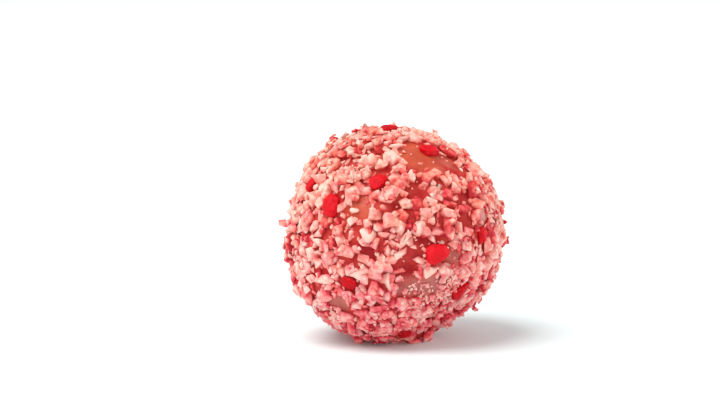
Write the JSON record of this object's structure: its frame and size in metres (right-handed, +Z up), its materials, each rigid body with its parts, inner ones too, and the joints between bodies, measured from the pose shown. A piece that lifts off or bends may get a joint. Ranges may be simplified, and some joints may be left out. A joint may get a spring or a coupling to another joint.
{
  "type": "doughnut hole",
  "caption": "Round ball of fried dough in a thin pink glaze, coated all over with crushed pink crumbs and red jelly bits, resting on a small flat spot.",
  "frame": {"origin": "middle of the small flat spot that the ball rests on", "axes": "+Z up, away from the surface it rests on; the side that the picture shows faces -Y, with +X to the right of it"},
  "size_m": [0.0424, 0.0416, 0.041],
  "materials": {
    "pink_crumb": "matte",
    "pink_glaze": "satin",
    "red_jelly": "gloss"
  },
  "bodies": {
    "root": {"coated_ball": "pink_crumb"}
  },
  "joints": []
}
